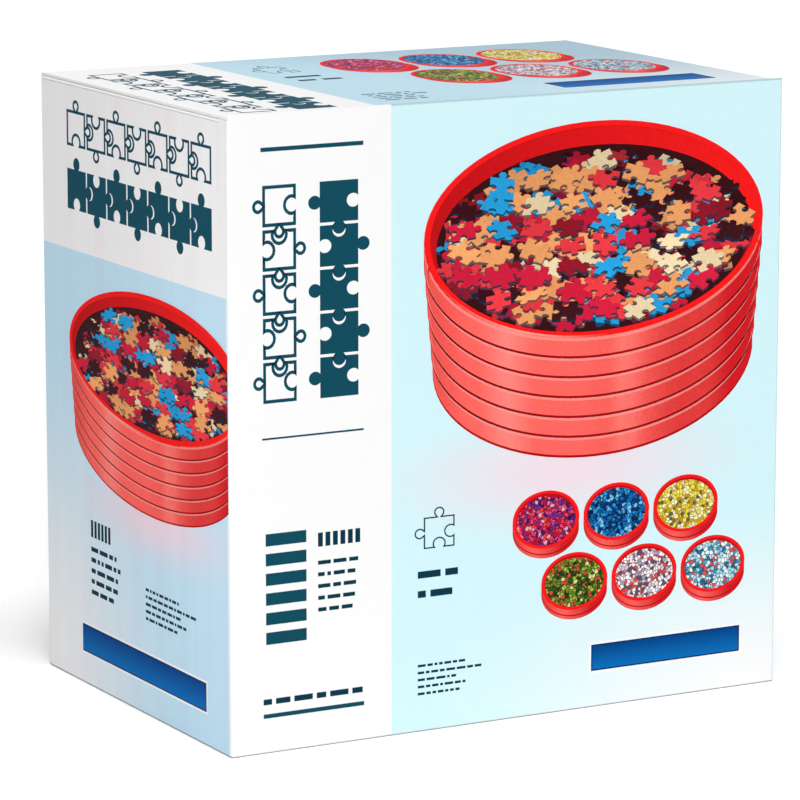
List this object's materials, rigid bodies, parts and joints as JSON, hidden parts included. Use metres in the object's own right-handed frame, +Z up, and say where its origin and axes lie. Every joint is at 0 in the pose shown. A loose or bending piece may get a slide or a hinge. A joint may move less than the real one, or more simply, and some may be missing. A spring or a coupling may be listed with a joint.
{
  "type": "puzzle sorter",
  "caption": "Puzzle sorter: jigsaw-shaped stacking trays standing on edge in a printed board carton with a hinged tuck-in lid and dust flaps.",
  "frame": {"origin": "centre of the carton's underside, in the plane it stands on", "axes": "+X to the right of someone facing the printed front, the front faces -Y, +Z up"},
  "size_m": [0.198, 0.135, 0.198],
  "materials": {
    "printed_board": "printed folding board with a satin varnish outside, plain white inside",
    "tray_plastic": "moulded red plastic, gloss"
  },
  "bodies": {
    "carton": {"front_panel": "printed_board", "back_panel": "printed_board", "left_panel": "printed_board", "right_panel": "printed_board", "glue_flap": "printed_board", "bottom_outer_panel": "printed_board", "bottom_inner_panel": "printed_board", "bottom_dust_flap_left": "printed_board", "bottom_dust_flap_right": "printed_board"},
    "lid": {"lid_panel": "printed_board"},
    "tuck": {"tuck_flap": "printed_board"},
    "dust_left": {"top_dust_flap_left": "printed_board"},
    "dust_right": {"top_dust_flap_right": "printed_board"},
    "tray_1": {"tray_1": "tray_plastic"},
    "tray_2": {"tray_2": "tray_plastic"},
    "tray_3": {"tray_3": "tray_plastic"},
    "tray_4": {"tray_4": "tray_plastic"},
    "tray_5": {"tray_5": "tray_plastic"},
    "tray_6": {"tray_6": "tray_plastic"}
  },
  "joints": [
    {"name": "lid_hinge", "type": "hinge", "parent": "carton", "child": "lid", "pos_m": [0, 0.06749, 0.1972], "axis": [-1, 0, 0], "range_deg": [0, 225]},
    {"name": "tuck_crease", "type": "hinge", "parent": "lid", "child": "tuck", "pos_m": [0, -0.06649, 0.1972], "axis": [-1, 0, 0], "range_deg": [0, 91]},
    {"name": "dust_left_crease", "type": "hinge", "parent": "carton", "child": "dust_left", "pos_m": [-0.099, 0, 0.1962], "axis": [0, -1, 0], "range_deg": [0, 225]},
    {"name": "dust_right_crease", "type": "hinge", "parent": "carton", "child": "dust_right", "pos_m": [0.099, 0, 0.1962], "axis": [0, 1, 0], "range_deg": [0, 225]},
    {"name": "tray_1_lift", "type": "slide", "parent": "carton", "child": "tray_1", "axis": [0, 0, 1], "range_m": [0, 0.1281]},
    {"name": "tray_2_lift", "type": "slide", "parent": "carton", "child": "tray_2", "axis": [0, 0, 1], "range_m": [0, 0.1281]},
    {"name": "tray_3_lift", "type": "slide", "parent": "carton", "child": "tray_3", "axis": [0, 0, 1], "range_m": [0, 0.1281]},
    {"name": "tray_4_lift", "type": "slide", "parent": "carton", "child": "tray_4", "axis": [0, 0, 1], "range_m": [0, 0.1281]},
    {"name": "tray_5_lift", "type": "slide", "parent": "carton", "child": "tray_5", "axis": [0, 0, 1], "range_m": [0, 0.1281]},
    {"name": "tray_6_lift", "type": "slide", "parent": "carton", "child": "tray_6", "axis": [0, 0, 1], "range_m": [0, 0.0288]}
  ],
  "couplings": [
    {"joint": "tuck_crease", "follows": "lid_hinge", "ratio": 0.4},
    {"joint": "dust_left_crease", "follows": "lid_hinge", "ratio": 1},
    {"joint": "dust_right_crease", "follows": "lid_hinge", "ratio": 1},
    {"joint": "tray_1_lift", "follows": "lid_hinge", "m_per_rad": 0.0325},
    {"joint": "tray_2_lift", "follows": "lid_hinge", "m_per_rad": 0.0325},
    {"joint": "tray_3_lift", "follows": "lid_hinge", "m_per_rad": 0.0325},
    {"joint": "tray_4_lift", "follows": "lid_hinge", "m_per_rad": 0.0325},
    {"joint": "tray_5_lift", "follows": "lid_hinge", "m_per_rad": 0.0325},
    {"joint": "tray_6_lift", "follows": "lid_hinge", "m_per_rad": 0.0072}
  ]
}
